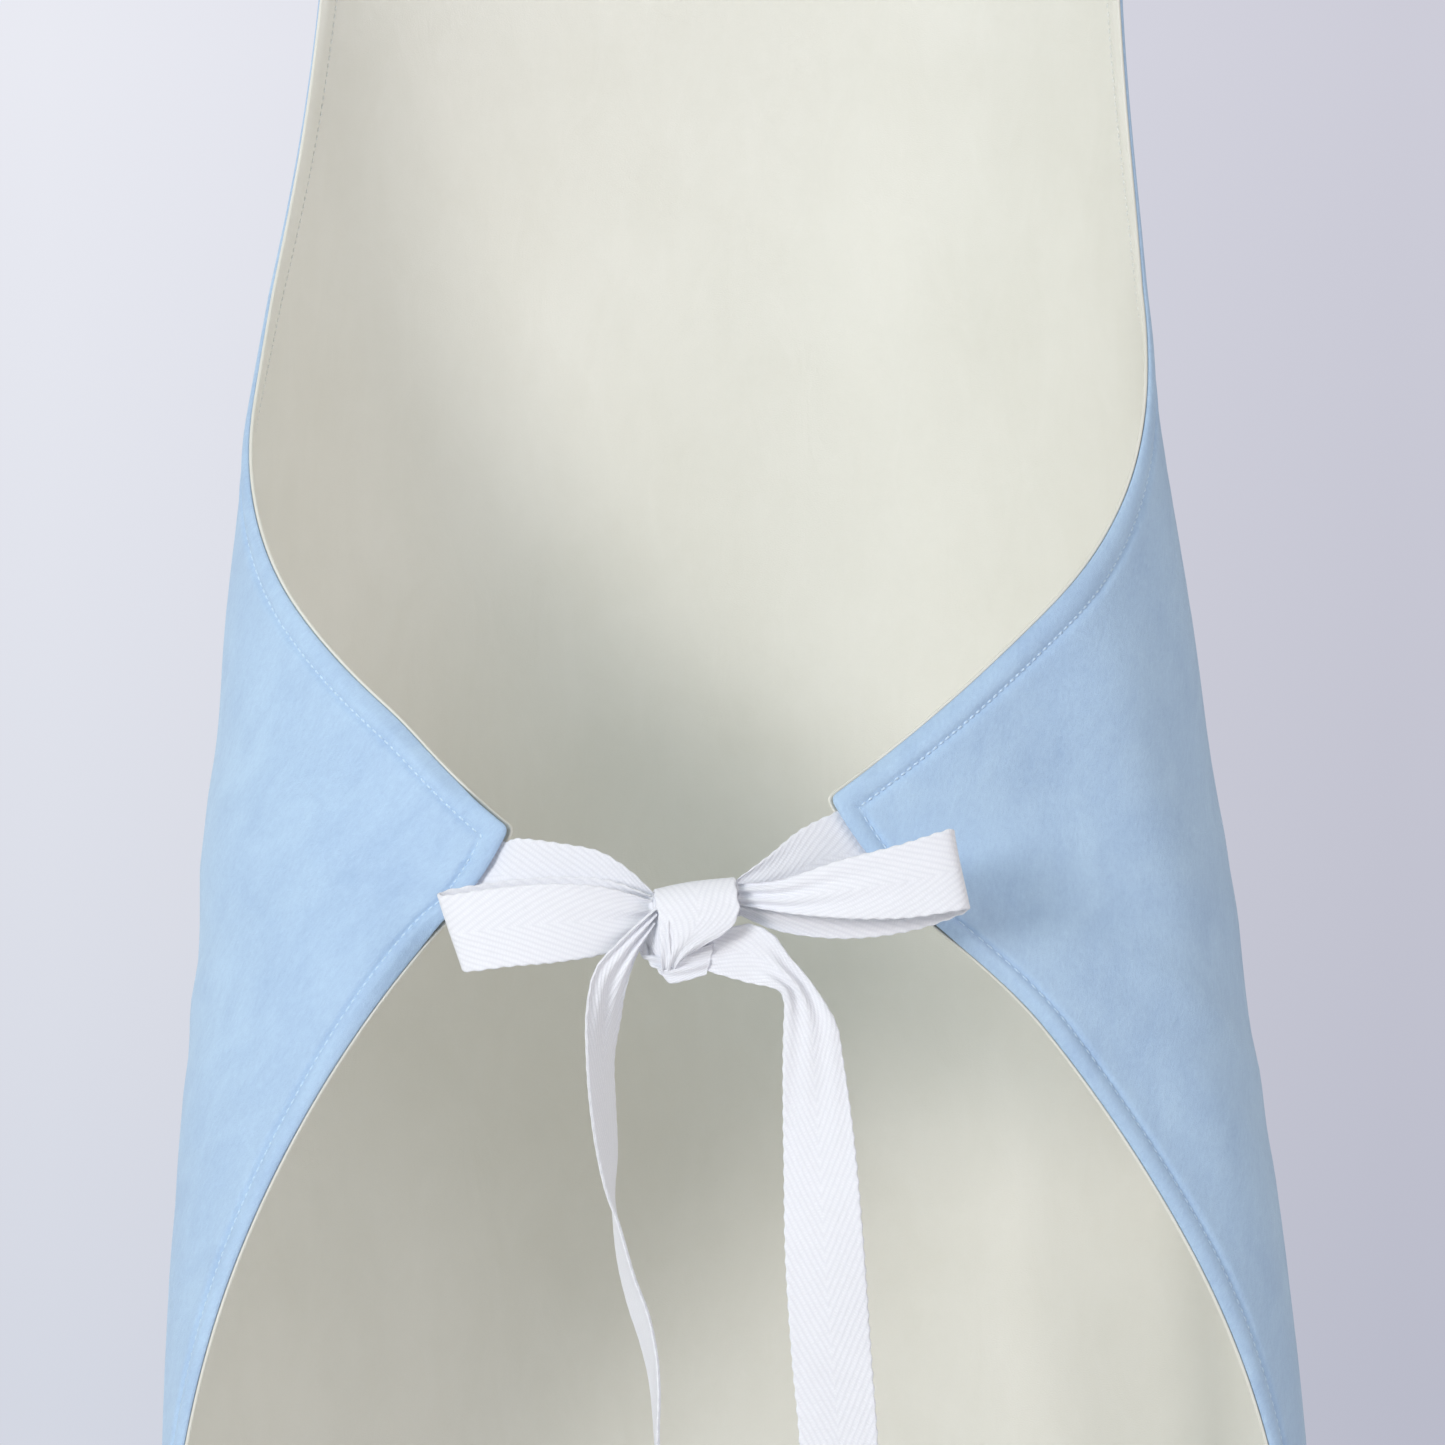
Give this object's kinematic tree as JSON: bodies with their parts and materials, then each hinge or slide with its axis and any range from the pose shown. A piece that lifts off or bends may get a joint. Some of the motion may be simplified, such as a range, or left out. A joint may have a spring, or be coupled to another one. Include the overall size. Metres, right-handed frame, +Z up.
{
  "type": "patient gown",
  "caption": "Sleeveless open-backed apron gown in light blue velour with a waterproof backing, twill neck tapes with a press stud, and waist tapes tied in a bow at the back.",
  "frame": {"origin": "at the nape, on the inner face of the neck tape, where the gown hangs on its wearer", "axes": "+Z up, +X the wearer's left, -Y the wearer's front, +Y out of the wearer's back"},
  "size_m": [0.4054, 0.2808, 1.0526],
  "materials": {
    "velour": "short-nap velour, matte with a soft sheen",
    "backing": "smooth cream waterproof film, satin",
    "thread": "polyester sewing thread, satin",
    "twill_tape": "white cotton herringbone twill, matte",
    "stud_plastic": "white moulded resin, satin gloss"
  },
  "bodies": {
    "gown": {"face_panel": "velour", "backing_panel": "backing", "face_thread": "thread", "backing_thread": "thread", "waist_lead_left": "twill_tape", "waist_lead_right": "twill_tape", "bow_knot": "twill_tape", "neck_tape_left": "twill_tape", "neck_tape_right": "twill_tape", "stud_cap": "stud_plastic", "stud": "stud_plastic", "spare_cap": "stud_plastic", "spare_stud": "stud_plastic"},
    "loop_left": {"bow_loop_left": "twill_tape"},
    "loop_right": {"bow_loop_right": "twill_tape"},
    "tail_left": {"waist_tail_left": "twill_tape"},
    "tail_right": {"waist_tail_right": "twill_tape"},
    "flap": {"neck_flap": "twill_tape", "flap_cap": "stud_plastic", "flap_socket": "stud_plastic"}
  },
  "joints": [
    {"name": "loop_left_lift", "type": "hinge", "parent": "gown", "child": "loop_left", "pos_m": [0.0188, 0.058, -0.498], "axis": [0, -1, 0], "range_deg": [0, 40]},
    {"name": "loop_right_lift", "type": "hinge", "parent": "gown", "child": "loop_right", "pos_m": [-0.0076, 0.058, -0.4945], "axis": [0, 1, 0], "range_deg": [0, 40]},
    {"name": "tail_left_swing", "type": "hinge", "parent": "gown", "child": "tail_left", "pos_m": [0.018, 0.0636, -0.5015], "axis": [1, 0, 0], "range_deg": [0, 75]},
    {"name": "tail_right_swing", "type": "hinge", "parent": "gown", "child": "tail_right", "pos_m": [-0.003, 0.059, -0.5075], "axis": [1, 0, 0], "range_deg": [0, 75]},
    {"name": "neck_flap_open", "type": "hinge", "parent": "gown", "child": "flap", "pos_m": [-0.012, 0.0065, 0], "axis": [0, 0, -1], "range_deg": [0, 100]}
  ]
}
